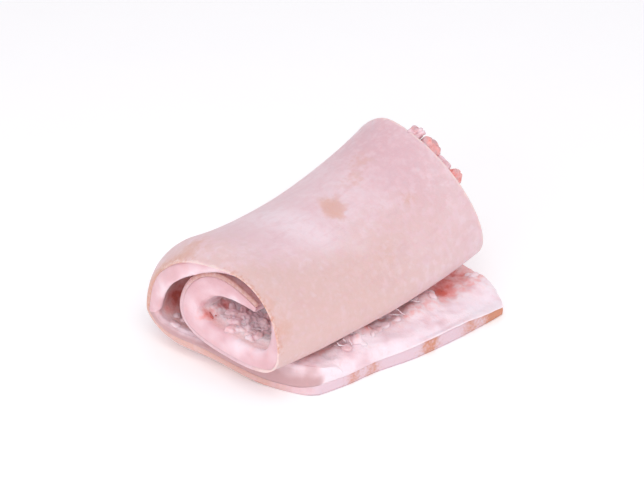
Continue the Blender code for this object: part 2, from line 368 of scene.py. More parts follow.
def addNode(tree, kind, settings=None, inputs=None):
    # one node with its settings; an input that is a socket, or a node for its first output, is
    # linked, and anything else is set
    node = tree.nodes.new(kind)
    for key, value in (settings or {}).items():
        setattr(node, key, value)
    for key, value in (inputs or {}).items():
        if isinstance(value, bpy.types.Node):
            value = value.outputs[0]
        if isinstance(value, bpy.types.NodeSocket):
            tree.links.new(value, node.inputs[key])
        else:
            node.inputs[key].default_value = value
    return node


def blotches(add, sizeMm, low, high, seed, detail=3.0, stretch=(1.0, 1.0, 1.0)):
    # irregular soft blotches about sizeMm across: 0 where the noise is low and 1 where it is high
    here = add("ShaderNodeTexCoord").outputs["Object"]
    turned = add("ShaderNodeMapping", {}, {"Vector": here, "Scale": stretch})
    cloud = add(
        "ShaderNodeTexNoise",
        {"noise_dimensions": "4D"},
        {"Vector": turned, "W": seed, "Scale": 1 / (sizeMm * mm), "Detail": detail, "Roughness": 0.6},
    )
    return add(
        "ShaderNodeMapRange",
        {"interpolation_type": "SMOOTHSTEP"},
        {"Value": cloud, "From Min": low, "From Max": high},
    )


def markedArea(add, name, ragged, most, low=0.0, high=1.0, key=None):
    # a layer of colour in the area marked under that name on the mesh, its edge broken up by the
    # ragged pattern; its colour has the mark's name unless a key is given
    mark = add("ShaderNodeAttribute", {"attribute_name": name}).outputs["Fac"]
    broken = add("ShaderNodeMath", {"operation": "MULTIPLY_ADD"}, {0: ragged, 1: 0.6, 2: mark})
    area = add(
        "ShaderNodeMapRange",
        {"interpolation_type": "SMOOTHSTEP"},
        {"Value": broken, "From Min": low + 0.3, "From Max": high + 0.3, "To Max": most},
    )
    return area, 1.0, key or name


def layColours(add, finish, layers):
    # the finish's colours laid over its base: mask, share of the mask that counts, key of the colour
    colour = toLinear(finish["base"])
    for mask, share, key in layers:
        faint = add("ShaderNodeMath", {"operation": "MULTIPLY"}, {0: mask, 1: share})
        over = add("ShaderNodeMix", {"data_type": "RGBA"}, {0: faint, 6: colour, 7: toLinear(finish[key])})
        colour = over.outputs[2]
    return colour


def patternsOf(add, finish):
    # the finish's patterns, in the order of its rows
    return [blotches(add, *values) for values in finish["patterns"].values()]


def setSurface(add, shader, finish, colour, pattern, heights):
    # colour, roughness between the finish's two values by a pattern, and one bump for each height
    links = shader.id_data.links
    links.new(colour, shader.inputs["Base Color"])
    low, high = finish["rough"]
    sheen = add("ShaderNodeMapRange", {}, {"Value": pattern, "To Min": low, "To Max": high})
    links.new(sheen.outputs["Result"], shader.inputs["Roughness"])
    normal = None
    for height, depthMm in zip(heights, finish["depthsMm"]):
        inputs = {"Height": height, "Distance": depthMm * mm, "Strength": 0.6}
        if normal is not None:
            inputs["Normal"] = normal
        normal = add("ShaderNodeBump", {}, inputs).outputs["Normal"]
    links.new(normal, shader.inputs["Normal"])


def startMaterial(name, fixed):
    # a Principled material with the values that are the same all over it, and what adds its nodes
    material = bpy.data.materials.new(name)
    material.use_nodes = True
    shader = material.node_tree.nodes["Principled BSDF"]
    for key, value in fixed.items():
        shader.inputs[key].default_value = value
    return material, partial(addNode, material.node_tree), shader


def fleshValues(finish):
    # what is the same all over skin, fat or meat: light scattered inside, refraction, moist coat
    inside = ("Subsurface Weight", "Subsurface Radius", "Subsurface Scale")
    return dict(zip((*inside, "IOR", "Coat Weight", "Coat Roughness"), finish["flesh"]))


rindFinish = {
    "flesh": (0.3, (1.0, 0.45, 0.4), 1.0 * mm, 1.42, 0.10, 0.30),
    "base": "#e9cfd5",
    "pink": "#e3bfc6",
    "rosy": "#d7abb3",
    # beige: painted shade on the right side of the roll, which faces down, and on the drooping near edge
    # of the top
    "beige": "#dcb9b1",
    "tan": "#dbab9b",
    "orange": "#d18a68",
    "cream": "#efd6d3",
    "mauve": "#e4cad4",
    # brown: partly the skin's own tan, partly painted shade on the inner turn's near edge where the outer
    # turn overhangs it
    "brown": "#cd9c90",
    # pale: mostly a painted highlight along the shoulder of the roll, partly the skin's own paler tone
    "pale": "#f0dce3",
    "rough": (0.50, 0.40),
    "depthsMm": (0.08, 0.22),
    # as blotches takes them: size in mm, low, high, seed, detail and stretch
    "patterns": {
        "mottle": (5.0, 0.36, 0.66, 0.0),
        "cloud": (22.0, 0.38, 0.64, 3.0),
        # real follicles are 0.3 mm wide, too fine to show, so the dimples are coarser
        "pores": (1.3, 0.3, 0.7, 7.0),
        "streaks": (3.0, 0.48, 0.74, 9.0, 4.0, (1.0, 0.25, 0.5)),
        "ragged": (4.5, 0.25, 0.75, 5.0),
        "frayed": (1.6, 0.2, 0.8, 6.0),
        "wrinkles": (6.0, 0.2, 0.8, 11.0, 4.0, (1.0, 0.6, 0.8)),
    },
}


def scaldedRind():
    # pork rind, scalded and scraped: waxy and slightly translucent, with tan patches left by the
    # scald, a cream cut edge and a faint damp gloss; with a painted highlight along the shoulder of
    # the roll, painted shade in beige on the lower skin, and partly painted shade in brown where the
    # outer turn overhangs
    finish = rindFinish
    material, add, shader = startMaterial("scaldedPorkRind", fleshValues(finish))
    mottle, cloud, pores, streaks, ragged, frayed, wrinkles = patternsOf(add, finish)
    area = partial(markedArea, add)
    layers = [
        (mottle, 0.5, "pink"),
        (cloud, 0.6, "pink"),
        # painted shade: beige where the skin faces down or droops towards the front
        area("beige", ragged, 0.9),
        area("rosy", ragged, 0.8),
        # mostly a painted highlight: the paler shoulder of the roll
        area("pale", ragged, 0.8),
        area("tan", ragged, 0.8, 0.15, 1.0),
        (streaks, 0.3, "rosy"),
        area("mauve", ragged, 0.9, 0.0, 0.8),
        # partly painted shade: brown on the inner turn's near edge, under the outer turn
        area("brown", frayed, 0.95, 0.1, 0.9),
        area("cream", ragged, 0.9, 0.2, 0.7),
        area("orange", frayed, 0.95, 0.15, 1.0),
    ]
    colour = layColours(add, finish, layers)
    setSurface(add, shader, finish, colour, pores, (pores, wrinkles))
    return material


fatFinish = {
    "flesh": (0.55, (1.0, 0.8, 0.75), 1.8 * mm, 1.46, 0.25, 0.16),
    "base": "#fceaf1",
    "pink": "#f6d8e1",
    "lavender": "#eccfda",
    # pink: partly blood stain, partly painted shade on the cut faces, inside the turns and along the foot
    # of the roll
    "blush": "#e1b2b9",
    # dark pink-brown: partly a drier cut surface, partly painted shade on the slab's near cut face under
    # the roll
    "dry": "#c59b9d",
    "shade": "#f6cdca",
    "lightMeat": "#f3b0ae",
    # red: lean left on the fat, and painted shade in the crease along the foot of the roll
    "meat": "#e2776b",
    "ridge": "#fdf1f5",
    "rough": (0.46, 0.20),
    "depthsMm": (0.22,),
    "patterns": {
        "cloud": (12.0, 0.3, 0.75, 0.0, 1.5),
        "grain": (2.2, 0.3, 0.72, 2.0, 4.0),
        "ragged": (3.5, 0.25, 0.75, 4.0, 4.0),
    },
}


def chilledBackFat():
    # raw back fat, chilled and cut with a knife: nearly white and translucent, so that light softens in
    # it;
    # pink where blood stained it, red where lean is left on it; with painted shade too: pink on the cut
    # faces and inside the turns, pink and red in the crease along the foot of the roll, darker on the
    # slab's near cut face, and a warm painted shade inside the roll
    finish = fatFinish
    material, add, shader = startMaterial("chilledBackFat", fleshValues(finish))
    cloud, grain, ragged = patternsOf(add, finish)
    wet = add("ShaderNodeAttribute", {"attribute_name": "wet"}).outputs["Fac"]
    crest = add("ShaderNodeAttribute", {"attribute_name": "ridge"}).outputs["Fac"]
    area = partial(markedArea, add)
    layers = [
        (cloud, 0.55, "pink"),
        (grain, 0.12, "lavender"),
        # partly blood stain, partly painted shade
        area("blush", cloud, 0.9),
        area("shade", ragged, 0.8),
        # partly a drier cut surface, partly painted shade on the slab's near cut face
        area("dry", cloud, 0.9),
        (crest, 1.0, "ridge"),
        # red for lean left on the fat, and painted shade in the crease at the roll's foot
        area("meat", ragged, 1.0, 0.1, 0.8, "lightMeat"),
        area("meat", ragged, 1.0, 0.6, 1.3),
    ]
    colour = layColours(add, finish, layers)
    setSurface(add, shader, finish, colour, wet, (grain,))
    return material


leanFinish = {
    "flesh": (0.4, (1.0, 0.3, 0.25), 1.5 * mm, 1.38, 0.3, 0.15),
    "base": "#e29a98",
    "dark": "#cc6a62",
    "tendon": "#f3d3d6",
    "rough": (0.45, 0.25),
    "depthsMm": (0.2,),
    "patterns": {
        "fibres": (0.9, 0.35, 0.65, 1.0, 3.0, (1.0, 0.3, 1.0)),
        "patches": (3.5, 0.4, 0.62, 2.0),
        "strands": (2.2, 0.56, 0.66, 3.0, 3.0, (1.0, 0.35, 0.8)),
    },
}


def leanRemnant():
    # lean pork torn off with the fat: moist bundles of fibre with paler strands between them
    finish = leanFinish
    material, add, shader = startMaterial("leanMeatRemnant", fleshValues(finish))
    fibres, patches, strands = patternsOf(add, finish)
    colour = layColours(add, finish, [(patches, 1.0, "dark"), (strands, 1.0, "tendon")])
    setSurface(add, shader, finish, colour, patches, (fibres,))
    return material


membraneFinish = {
    "flesh": (0.5, (1.0, 0.8, 0.75), 0.5 * mm, 1.40, 0.4, 0.10),
    "base": "#fbeff3",
    "pink": "#eccfd6",
    "rough": (0.35, 0.2),
    "depthsMm": (0.1,),
    "patterns": {"tinge": (2.5, 0.4, 0.7, 1.0), "knots": (1.0, 0.3, 0.7, 2.0)},
}


def moistMembrane():
    # connective membrane pulled into strings: white, translucent and wet
    finish = membraneFinish
    material, add, shader = startMaterial("moistMembrane", fleshValues(finish))
    tinge, knots = patternsOf(add, finish)
    colour = layColours(add, finish, [(tinge, 1.0, "pink")])
    setSurface(add, shader, finish, colour, knots, (knots,))
    return material


def startTree(name, numbers, others=None):
    # a tree with geometry in and out, a material and its own named inputs, and what adds its nodes
    tree = bpy.data.node_groups.new(name, "GeometryNodeTree")
    kinds = {"Geometry": "Geometry", **dict.fromkeys(numbers, "Float"), **(others or {})}
    for key, kind in dict(kinds, Material="Material").items():
        tree.interface.new_socket(key, in_out="INPUT", socket_type="NodeSocket" + kind)
    tree.interface.new_socket("Geometry", in_out="OUTPUT", socket_type="NodeSocketGeometry")
    add = partial(addNode, tree)
    return tree, add, add("NodeGroupInput").outputs


def endTree(add, geometry, material):
    # what every tree ends in: smooth faces, instances made real and the material
    smooth = add("GeometryNodeSetShadeSmooth", {}, {0: geometry})
    real = add("GeometryNodeRealizeInstances", {}, {"Geometry": smooth})
    dressed = add("GeometryNodeSetMaterial", {}, {"Geometry": real, "Material": material})
    add("NodeGroupOutput", {}, {"Geometry": dressed})


def madeByTree(name, host, tree, values):
    # runs the tree on the host mesh, with its inputs set by identifier, and keeps a plain mesh
    piece = addObject(name, host)
    modifier = piece.modifiers.new(tree.name, "NODES")
    modifier.node_group = tree
    for socket in tree.interface.items_tree:
        if socket.in_out == "INPUT" and socket.name in values:
            modifier[socket.identifier] = values[socket.name]
    evaluated = piece.evaluated_get(bpy.context.evaluated_depsgraph_get())
    mesh = bpy.data.meshes.new_from_object(evaluated)
    piece.modifiers.remove(modifier)
    piece.data = mesh
    bpy.data.meshes.remove(host)
    mesh.name = name
    return piece


def pushed(add, geometry, height):
    # the geometry with each point pushed along its normal by the height
    normal = add("GeometryNodeInputNormal")
    push = add("ShaderNodeVectorMath", {"operation": "SCALE"}, {0: normal, "Scale": height})
    return add("GeometryNodeSetPosition", {}, {"Geometry": geometry, "Offset": push})


def unevenHeight(add, size, seed, level, height):
    # noise with bumps of the given size, from -level to 1 - level, times the height
    scale = add("ShaderNodeMath", {"operation": "DIVIDE"}, {0: 1.0, 1: size})
    bumps = add(
        "ShaderNodeTexNoise",
        {"noise_dimensions": "4D"},
        {"W": seed, "Scale": scale, "Detail": 3.0, "Roughness": 0.55},
    )
    raised = add("ShaderNodeMath", {"operation": "SUBTRACT"}, {0: bumps, 1: level})
    return add("ShaderNodeMath", {"operation": "MULTIPLY"}, {0: raised, 1: height})


def reliefTree():
    # the sheet's fine relief: lumps where the mesh is marked lumpy, sharp folds where it is marked
    # crumpled, whose crests are marked ridge for the material
    tree, add, given = startTree(
        "sheetRelief", ("Lump Size", "Lump Height", "Level", "Fold Size", "Fold Height", "Seed")
    )
    lumpy = add("GeometryNodeInputNamedAttribute", {}, {"Name": "lumpy"})
    crumpled = add("GeometryNodeInputNamedAttribute", {}, {"Name": "crumpled"})
    lumpHeight = add("ShaderNodeMath", {"operation": "MULTIPLY"}, {0: lumpy, 1: given["Lump Height"]})
    lumps = unevenHeight(add, given["Lump Size"], given["Seed"], given["Level"], lumpHeight)
    middle = unevenHeight(add, given["Fold Size"], given["Seed"], 0.5, 6.0)
    away = add("ShaderNodeMath", {"operation": "ABSOLUTE"}, {0: middle})
    crest = add("ShaderNodeMath", {"operation": "SUBTRACT", "use_clamp": True}, {0: 1.0, 1: away})
    ridge = add("ShaderNodeMath", {"operation": "MULTIPLY"}, {0: crest, 1: crumpled})
    height = add(
        "ShaderNodeMath", {"operation": "MULTIPLY_ADD"}, {0: ridge, 1: given["Fold Height"], 2: lumps}
    )
    inputs = {"Geometry": given["Geometry"], "Name": "ridge", "Value": ridge}
    marked = add("GeometryNodeStoreNamedAttribute", {}, inputs)
    endTree(add, pushed(add, marked, height), given["Material"])
    return tree


def scatterTree():
    # soft lumps strewn over the host, more of them where it is marked crowd, each turned and sized at
    # random and squashed by the stretch; they grow together where they touch, as soft fat does
    sizes = ("Spacing", "Density", "Smallest", "Largest", "Unevenness", "Uneven Size", "Detail")
    tree, add, given = startTree(
        "lumpScatter",
        (*sizes, "Blush", "Wetness"),
        {"Stretch": "Vector", "Softening": "Int", "Seed": "Int"},
    )
    crowd = add("GeometryNodeInputNamedAttribute", {}, {"Name": "crowd"})
    points = add(
        "GeometryNodeDistributePointsOnFaces",
        {"distribute_method": "POISSON"},
        {
            "Mesh": given["Geometry"],
            "Distance Min": given["Spacing"],
            "Density Max": given["Density"],
            "Density Factor": crowd,
            "Seed": given["Seed"],
        },
    )
    spin = add(
        "FunctionNodeRandomValue",
        {"data_type": "FLOAT_VECTOR"},
        {0: (-0.3, -0.3, 0.0), 1: (0.3, 0.3, 2 * math.pi), "Seed": given["Seed"]},
    )
    turned = add(
        "FunctionNodeRotateRotation", {"rotation_space": "LOCAL"}, {0: points.outputs["Rotation"], 1: spin}
    )
    inputs = {2: given["Smallest"], 3: given["Largest"], "Seed": given["Seed"]}
    size = add("FunctionNodeRandomValue", {}, inputs)
    squashed = add(
        "ShaderNodeVectorMath", {"operation": "SCALE"}, {0: given["Stretch"], "Scale": size.outputs[1]}
    )
    ball = add("GeometryNodeMeshIcoSphere", {}, {"Radius": 1.0, "Subdivisions": 3})
    strewn = add(
        "GeometryNodeInstanceOnPoints",
        {},
        {"Points": points, "Instance": ball, "Rotation": turned, "Scale": squashed},
    )
    real = add("GeometryNodeRealizeInstances", {}, {"Geometry": strewn})
    uneven = unevenHeight(add, given["Uneven Size"], 5.0, 0.5, given["Unevenness"])
    shaped = pushed(add, real, uneven)
    filled = add(
        "GeometryNodeMeshToVolume",
        {"resolution_mode": "VOXEL_SIZE"},
        {"Mesh": shaped, "Voxel Size": given["Detail"], "Interior Band Width": 3 * mm},
    )
    grown = add(
        "GeometryNodeVolumeToMesh",
        {"resolution_mode": "VOXEL_SIZE"},
        {"Volume": filled, "Voxel Size": given["Detail"], "Threshold": 0.1},
    )
    softened = add(
        "GeometryNodeBlurAttribute",
        {"data_type": "FLOAT_VECTOR"},
        {"Value": add("GeometryNodeInputPosition"), "Iterations": given["Softening"]},
    )
    shaped = add("GeometryNodeSetPosition", {}, {"Geometry": grown, "Position": softened})
    # random pink on the lumps, stored as blush and again as painted warm shade, so that lumps in shadow
    # look warmer
    blush = unevenHeight(add, given["Uneven Size"], 8.0, 0.0, given["Blush"])
    for key, value in (("wet", given["Wetness"]), ("blush", blush), ("shade", blush)):
        inputs = {"Geometry": shaped, "Name": key, "Value": value}
        shaped = add("GeometryNodeStoreNamedAttribute", {}, inputs)
    endTree(add, shaped, given["Material"])
    return tree


def stringTree():
    # strings along the host's edges, wavy, and thin at both ends
    tree, add, given = startTree("membraneStrings", ("Thickness", "Waviness", "Wave Size"))
    line = add("GeometryNodeMeshToCurve", {}, {"Mesh": given["Geometry"]})
    even = add("GeometryNodeResampleCurve", {}, {"Curve": line, "Count": 28})
    scale = add("ShaderNodeMath", {"operation": "DIVIDE"}, {0: 1.0, 1: given["Wave Size"]})
    drift = add("ShaderNodeTexNoise", {}, {"Scale": scale, "Detail": 2.0})
    centred = add(
        "ShaderNodeVectorMath", {"operation": "SUBTRACT"}, {0: drift.outputs["Color"], 1: (0.5, 0.5, 0.5)}
    )
    sway = add("ShaderNodeVectorMath", {"operation": "SCALE"}, {0: centred, "Scale": given["Waviness"]})
    wavy = add("GeometryNodeSetPosition", {}, {"Geometry": even, "Offset": sway})
    along = add("GeometryNodeSplineParameter")
    turn = add("ShaderNodeMath", {"operation": "MULTIPLY"}, {0: along, 1: math.pi})
    swell = add("ShaderNodeMath", {"operation": "SINE"}, {0: turn})
    taper = add("ShaderNodeMath", {"operation": "MULTIPLY_ADD"}, {0: swell, 1: 0.7, 2: 0.3})
    ring = add("GeometryNodeCurvePrimitiveCircle", {}, {"Resolution": 10, "Radius": given["Thickness"]})
    tube = add(
        "GeometryNodeCurveToMesh",
        {},
        {"Curve": wavy, "Profile Curve": ring, "Scale": taper, "Fill Caps": True},
    )
    endTree(add, tube, given["Material"])
    return tree


skinSide, fatSide, known = sheetSides()
place, fromNear, fromFar = known["place"], known["fromNear"], known["fromFar"]
relief = reliefTree()
print("stage 2: the rolled sheet is worked out,", skinSide.shape[:2], "points a side")

rindSizes = {
    # thickness by place; the free edge is cut on the slant, so more of the rind shows there
    "thickness": ((0.0, 5.6), (0.12, 3.6), (0.8, 2.7), (8.0, 2.7)),
    # and from the near corner on even more of it: by what share, and over what distance
    "slant": (0.45, 60.0),
    # the outer turn's skin tapers to this share of its thickness at its near edge: share, width, and
    # from and to which place, fade between places
    "edgeShare": 0.4,
    "edgeWidth": 5.0,
    "edgeTurn": (2.4, 4.4, 0.3),
    # it takes up no more than this share of the sheet, and so much more where the free edge begins
    "most": (0.62, 0.3),
    "freeEdgeReach": 0.12,
    "rim": {"steps": 6, "bulge": 0.5, "flatness": 2.0},
    "relief": {"Lump Size": 7 * mm, "Lump Height": 0.35 * mm, "Level": 1.0},
    # bands along the near edge: from and to which place, fade between places, width in mm
    "bands": {
        "turnedSkin": (0.35, 2.0, 0.3, 18.0),
        "left": (1.9, 2.7, 0.2, 5.0),
        # the next band is painted shade, beige, along the drooping near edge of the top
        "lower": (2.4, 3.5, 0.3, 38.0),
        "top": (2.6, 4.6, 0.2, 1.6),
        "stained": (3.25, 3.95, 0.15, 4.5),
        "rosy": (5.0, 6.2, 0.3, 4.0),
        # the next band is partly painted shade: brown on the inner turn's near edge, under the overhang of
        # the outer turn
        "inner": (6.6, 8.0, 0.8, 4.0),
    },
    # painted shade, beige, over the right side, which faces down: from and to which place, fade between
    # places; then how it fades towards the far end: start, distance in mm, least share
    "lowerSkin": (3.5, 4.6, 0.3),
    "lowerFade": (1.6, 110.0, 0.35),
    "freeEdgeWidth": 5.0,
    "farRimWidth": 2.0,
    # brown patches left by the scald: x, y, z, radius, strength
    "tanSpots": (
        (-45.0, 57.9, 62.6, 7.0, 0.9), (-39.3, 54.0, 61.3, 6.0, 0.7),
        (-50.0, 79.0, 65.0, 7.0, 0.5), (-57.0, 92.0, 68.0, 9.0, 0.5),
        (-24.8, 92.9, 59.0, 4.5, 0.7), (-66.1, -15.8, 63.5, 8.0, 0.8),
        (-10.0, 59.0, 47.0, 8.0, 0.4), (-20.0, 47.0, 53.0, 6.0, 0.3),
        (-13.0, -17.0, 57.0, 6.0, 0.6), (-6.0, -17.0, 43.0, 7.0, 0.7),
    ),
    # stains along the cut free edge: y, half width, strength
    "edgeStains": (
        (18.0, 5.0, 0.6), (30.0, 5.0, 0.65),
        (63.0, 7.0, 0.8), (90.0, 8.0, 0.6),
        (108.0, 8.0, 1.3),
    ),
    # paler skin along the shoulder of the roll: mostly a painted highlight where the light falls
    # there, partly the skin's own paler tone
    "paleSpots": (
        (-60.0, 30.0, 62.0, 12.0, 0.7), (-44.0, 32.0, 62.0, 12.0, 0.7),
        (-29.0, 37.0, 58.5, 9.0, 0.6), (-18.0, 49.0, 53.0, 7.0, 0.4),
        (-6.0, 80.0, 45.0, 8.0, 0.3),
    ),
    # darker, rosier patches on the skin, the largest over the far part of the top: x, y, z, radius,
    # strength
    "rosySpots": (
        (-62.0, 108.0, 73.0, 26.0, 0.75), (-30.0, 104.0, 62.0, 18.0, 0.35),
        (-3.0, 50.0, 40.0, 7.0, 0.3),
    ),
}


def rindThickness():
    thickness = np.interp(place, *zip(*rindSizes["thickness"]))
    taper = (1 - rindSizes["edgeShare"]) * softBand(place, *rindSizes["edgeTurn"])
    thickness = thickness * (1 - taper * np.clip(1 - fromNear / rindSizes["edgeWidth"], 0, 1))
    atFreeEdge = np.clip(1 - place / rindSizes["freeEdgeReach"], 0, 1)
    growth, distance = rindSizes["slant"]
    thickness = thickness * (1 + growth * atFreeEdge * np.clip(fromNear / distance, 0, 1))
    share, more = rindSizes["most"]
    return np.minimum(thickness, (share + more * atFreeEdge) * known["thickness"])


def nearEdge(low, high, fade, width):
    # a mark along the near edge between two places, fading inwards over the width
    return softBand(place, low, high, fade) * np.clip(1 - fromNear / width, 0, 1)


def buildRind(material):
    inner = skinSide + known["inward"] * rindThickness()[..., None]
    inner[..., 1] += np.where(place < 2, 0.25, 0.15) * known["setback"]
    band = {key: nearEdge(*values) for key, values in rindSizes["bands"].items()}
    start, reach, least = rindSizes["lowerFade"]
    lower = softBand(place, *rindSizes["lowerSkin"]) + 0.8 * band["lower"]
    lower = lower * np.clip(start - fromNear / reach, least, 1)
    freeEdge = np.clip(1 - known["along"] / rindSizes["freeEdgeWidth"], 0, 1)
    farRim = np.clip(1 - fromFar / rindSizes["farRimWidth"], 0, 1)
    stained = np.zeros_like(place)
    for y, halfWidth, strength in rindSizes["edgeStains"]:
        stained += strength * np.exp(-(((skinSide[..., 1] - y) / halfWidth) ** 2))
    tan = spots(skinSide, rindSizes["tanSpots"])
    marks = {
        "tan": tan + 0.9 * band["turnedSkin"] + 1.0 * band["left"] + 0.3 * freeEdge,
        "orange": 0.55 * band["stained"] + 0.5 * band["left"] + stained * freeEdge,
        # painted shade: beige on the downward-facing lower skin and the drooping near edge
        "beige": 0.75 * np.clip(lower, 0, 1),
        "rosy": spots(skinSide, rindSizes["rosySpots"]) + 0.5 * band["rosy"],
        # mostly a painted highlight along the shoulder, partly the skin's own paler tone
        "pale": spots(skinSide, rindSizes["paleSpots"]),
        "mauve": 0.9 * freeEdge,
        # partly the skin's own tan, partly painted shade under the outer turn
        "brown": 0.7 * band["inner"],
        "cream": 0.7 * np.maximum(band["top"], farRim),
    }
    pairs = {key: (value, value) for key, value in marks.items()}
    pairs["lumpy"] = (np.ones_like(place), np.zeros_like(place))
    mesh = closedShell("rindLayer", skinSide, inner, rindSizes["rim"], pairs)
    return madeByTree("rindLayer", mesh, relief, dict(rindSizes["relief"], Material=material))


rindMaterial = scaldedRind()
rind = buildRind(rindMaterial)
print("stage 3: the rind is made,", len(rind.data.polygons), "faces")

fatSizes = {
    "overlap": 0.25,  # how far the fat reaches into the rind, so that no gap shows
    "leastFat": 1.0,
    # the soft edge of the fat's cut face rounds off: radius by place
    "rounding": ((0.0, 0.8), (1.5, 1.5), (2.6, 1.5), (4.4, 2.0), (4.8, 4.0), (6.8, 4.0), (8.0, 2.5)),
    "freeEdgeRounding": 7.0,
    # the outer turn's fat swells by this much where it is cut, on the left
    "swelling": 2.8,
    # parts of the sheet: from and to which place, fade between places
    "parts": {
        "slab": (0.0, 0.45, 0.1),
        "junction": (0.17, 0.4, 0.04),
        "underRoll": (0.2, 1.0, 0.05),
        "outerTurn": (0.3, 4.3, 0.2),
        "cavity": (1.6, 4.3, 0.25),
        "channel": (4.4, 5.9, 0.3),
    },
    # where marks begin, in from the near edge: 0 up to width x start, and 1 from one width further on
    "inland": {
        "shade": (3, 0.4), "cavity": (3, 1.0), "channel": (5, 0.8),
        "underRoll": (8, 0.6), "junction": (12, 1.0), "farSlab": (30, 3.6),
    },
    # bands along the near edge, as for the rind
    "bands": {
        # the next band is partly painted shade: darker on the slab's near cut face, under the roll's
        # overhang
        "dried": (0.03, 1.7, 0.06, 2.5),
        "cutFace": (1.7, 8.0, 0.3, 6.0),
        "swollen": (1.9, 2.75, 0.5, 16.0),
    },
    "rim": {"steps": 12, "bulge": 0.7, "flatness": 5.0},
    # knife slits in the near corner's cut face: stretch of the sheet, height, width and depth
    "slits": ((0.03, 0.24, 0.80, 0.035, 1.4), (0.09, 0.2, 0.66, 0.03, 0.8)),
    "relief": {
        "Lump Size": 4.5 * mm,
        "Lump Height": 1.5 * mm,
        "Level": 0.5,
        "Fold Size": 9.0 * mm,
        "Fold Height": 1.2 * mm,
        "Seed": 4.0,
    },
    # red: lean left on the fat, and painted shade in the crease along the foot of the roll and at the top
    # of the inner turn's mouth; x, y, z, radius, strength
    "meatSpots": (
        (-56.3, -17.0, 28.6, 3.5, 0.9), (-56.3, -6.0, 28.6, 4.0, 0.9),
        (-88.0, -8.0, 20.0, 9.0, 0.8), (-5.0, 96.0, 9.5, 5.0, 0.95),
        (-7.5, 104.0, 9.5, 5.0, 0.5), (-9.0, 114.0, 9.0, 8.0, 0.45),
        (-6.0, 122.0, 8.5, 6.0, 0.3), (-6.5, 42.0, 15.0, 2.8, 0.7),
        (-9.0, 54.0, 11.5, 2.4, 0.5), (-8.0, 66.0, 12.0, 2.0, 0.4),
    ),
    # pink: partly blood stain, partly painted shade along the foot of the roll and in the mouth of the
    # inner turn; x, y, z, radius, strength
    "blushSpots": (
        (-6.0, 40.0, 14.0, 8.0, 0.5), (-8.0, 60.0, 11.0, 7.0, 0.35),
        (-6.0, 86.0, 12.0, 6.0, 0.3), (-5.0, 112.0, 9.0, 12.0, 0.2),
        (-56.0, -12.0, 28.0, 12.0, 0.6),
    ),
}


def buildFat(material):
    outer = skinSide + known["inward"] * (rindThickness() - fatSizes["overlap"])[..., None]
    outer[..., 1] += np.where(place < 2, 0.2, 0.7) * known["setback"]
    part = {key: softBand(place, *values) for key, values in fatSizes["parts"].items()}
    band = {key: nearEdge(*values) for key, values in fatSizes["bands"].items()}
    radius = np.interp(place, *zip(*fatSizes["rounding"]))
    nearness = np.clip(1 - np.minimum(fromNear, fromFar) / radius, 0, 1)
    lowered = radius * (1 - np.sqrt(1 - nearness**2)) * 0.8
    edge = fatSizes["freeEdgeRounding"]
    nearness = np.clip(1 - known["along"] / edge, 0, 1) * np.clip(fromNear / 10, 0, 1)
    lowered += edge * (1 - np.sqrt(1 - nearness**2)) * 0.6
    room = known["thickness"] - rindThickness() - fatSizes["leastFat"]
    lowered = np.minimum(lowered, np.maximum(room, 0)) - fatSizes["swelling"] * band["swollen"]
    inner = fatSide - known["inward"] * lowered[..., None]

    inland = {
        key: np.clip(fromNear / width - start, 0, 1)
        for key, (width, start) in fatSizes["inland"].items()
    }
    cavity, underRoll, inChannel = (part[key] * inland[key] for key in ("cavity", "underRoll", "channel"))
    # the slab crumples along the roll, and all over at its far end
    junction = 0.6 * part["junction"] * inland["junction"]
    junction = np.maximum(junction, 0.6 * part["slab"] * inland["farSlab"])
    # the light that the fat takes and gives back inside the roll is warmer
    inShade = (0.8 * part["channel"] + 0.8 * part["outerTurn"]) * inland["shade"]
    # the free edge is smooth
    lumpy = 0.2 + 0.8 * (inChannel + part["slab"] * np.clip(place / 0.08, 0, 1))
    none = np.zeros_like(place)
    # pink: partly blood stain, partly painted shade on the cut faces, inside the inner turn and along the
    # foot of the roll
    blush = spots(inner, fatSizes["blushSpots"]) + 0.6 * band["cutFace"] + 0.3 * inChannel + 0.5 * cavity
    # red for lean, and painted shade along the foot of the roll
    meat = spots(inner, fatSizes["meatSpots"]) + 0.3 * cavity + 0.3 * underRoll
    marks = {
        # partly painted shade: darker on the slab's near cut face
        "dry": (1.5 * band["dried"], 0.4 * band["dried"]),
        "meat": (none, meat),
        "blush": (0.95 * band["cutFace"] + 0.1, blush + 0.5 * underRoll),
        "shade": (none, inShade),
        "wet": (none, inChannel + 0.4 * part["slab"]),
        "lumpy": (none, np.clip(lumpy, 0, 1)),
        "crumpled": (none, inChannel * np.clip(2.0 - fromNear / 45, 0.2, 1) + junction),
    }

    def groove(i, j, share):
        depth = 0.0
        for start, end, height, width, deep in fatSizes["slits"]:
            along = softBand(place[i, j], start, end, 0.02) * (j == 0)
            depth = depth + deep * along * math.exp(-(((share - height) / width) ** 2))
        return depth

    mesh = closedShell("fatLayer", outer, inner, dict(fatSizes["rim"], groove=groove), marks)
    return madeByTree("fatLayer", mesh, relief, dict(fatSizes["relief"], Material=material))


fatMaterial = chilledBackFat()
fat = buildFat(fatMaterial)
print("stage 4: the fat is made,", len(fat.data.polygons), "faces")

